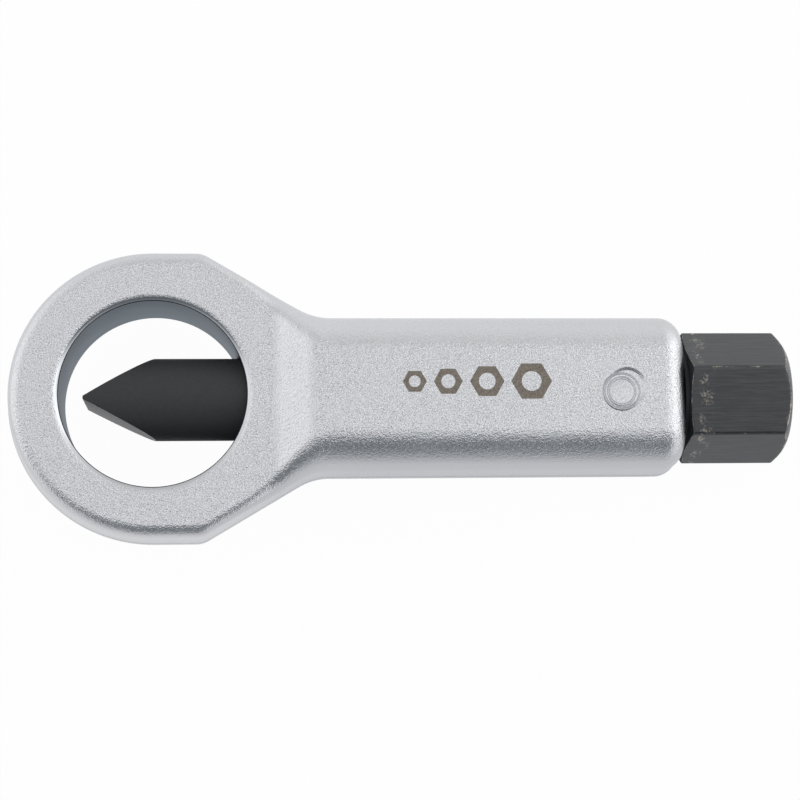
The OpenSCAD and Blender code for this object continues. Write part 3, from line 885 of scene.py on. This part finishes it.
# Painted shade in the floor's reflections only: the glow that glossy rays see is greyer under the barrel and
# near the tool's front, and darker still further to the front.
painted_shade_under_barrel = ramp_of(place.outputs["X"], -0.025, -0.004)
painted_shade_front_half = toned(painted_shade_under_barrel, (0.83, 0.835, 0.85, 1), (0.71, 0.72, 0.74, 1))
near = toned(ramp_of(place.outputs["Y"], 0.012, -0.012), (0.88, 0.885, 0.9, 1), painted_shade_front_half)
painted_shade_in_reflections = toned(ramp_of(place.outputs["Y"], -0.03, -0.22), near, (0.52, 0.53, 0.55, 1))
link(toned(seen.outputs["Is Glossy Ray"], (1, 1, 1, 1), painted_shade_in_reflections), glow.inputs["Color"])
mixed = n.new("ShaderNodeMixShader")
link(share.outputs[0], mixed.inputs["Fac"])
link(n["Principled BSDF"].outputs["BSDF"], mixed.inputs[1])
link(glow.outputs["Emission"], mixed.inputs[2])
link(mixed.outputs["Shader"], n["Material Output"].inputs["Surface"])
floor_mesh.materials.append(paper)

# The light: a white cloth tent all round the tool, lit evenly from outside and brighter at the tool's ends.
# Above the front it is open to a dark room, which the plating shows as a dark band along the barrel.
world = bpy.data.worlds.new("tent")
bpy.context.scene.world = world
world.use_nodes = True
n, link = world.node_tree.nodes, world.node_tree.links.new
way = n.new("ShaderNodeTexCoord")
parts = n.new("ShaderNodeSeparateXYZ")
link(way.outputs["Generated"], parts.inputs["Vector"])
opening = n.new("ShaderNodeMath")
opening.operation = "MULTIPLY"
link(ramp_of(parts.outputs["Y"], -0.03, -0.42), opening.inputs[0])
link(ramp_of(parts.outputs["Z"], 0.08, 0.5), opening.inputs[1])
tent = toned(ramp_of(parts.outputs["X"], -0.3, 0.3), (0.97, 0.975, 0.99, 1), (1.21, 1.215, 1.23, 1))
for side, low, high, tone in (
    ("Y", 0.12, 0.42, (0.56, 0.565, 0.575, 1)),
    ("Y", 0.58, 0.98, (0.9, 0.905, 0.915, 1)),
    ("Y", -0.5, -0.95, (0.45, 0.46, 0.48, 1)),
    ("X", 0.25, 0.7, (1.12, 1.125, 1.14, 1)),
    ("X", 0.68, 0.86, (1.95, 1.96, 1.98, 1)),
    ("X", 0.93, 0.977, (0.85, 0.855, 0.87, 1)),
    ("X", -0.25, -0.75, (1.1, 1.105, 1.12, 1)),
    ("X", -0.8, -1.0, (1.35, 1.36, 1.38, 1)),
):
    tent = toned(ramp_of(parts.outputs[side], low, high), tent, tone)
tent = toned(opening.outputs[0], tent, (0.165, 0.182, 0.202, 1))
link(tent, n["Background"].inputs["Color"])

# The camera: a long lens 300 mm from the tool, a little to one side, as the photograph was taken.
# It looks down along the nut's axis and is tipped about eight degrees.
yaw, pitch_down, roll = 0.084, -0.1426, 0.0153
eye_right, eye_up, eye_back = 0.0357838, 0.0000156, 0.3
right, up, back = np.array(
    Matrix.Rotation(roll, 3, "Z") @ Matrix.Rotation(pitch_down, 3, "X") @ Matrix.Rotation(yaw, 3, "Y"))
eye = ring_centre + eye_right * right + eye_up * up + eye_back * back
camera = bpy.data.objects.new("camera", bpy.data.cameras.new("camera"))
camera.data.lens = 92.605
camera.data.sensor_width = 36
camera.data.sensor_fit = "HORIZONTAL"
camera.data.clip_start = 0.01
camera.matrix_world = Matrix([*np.column_stack((right, up, back, eye)).tolist(), (0, 0, 0, 1)])
bpy.context.scene.collection.objects.link(camera)
bpy.context.scene.camera = camera
bpy.context.scene.view_settings.view_transform = "Standard"
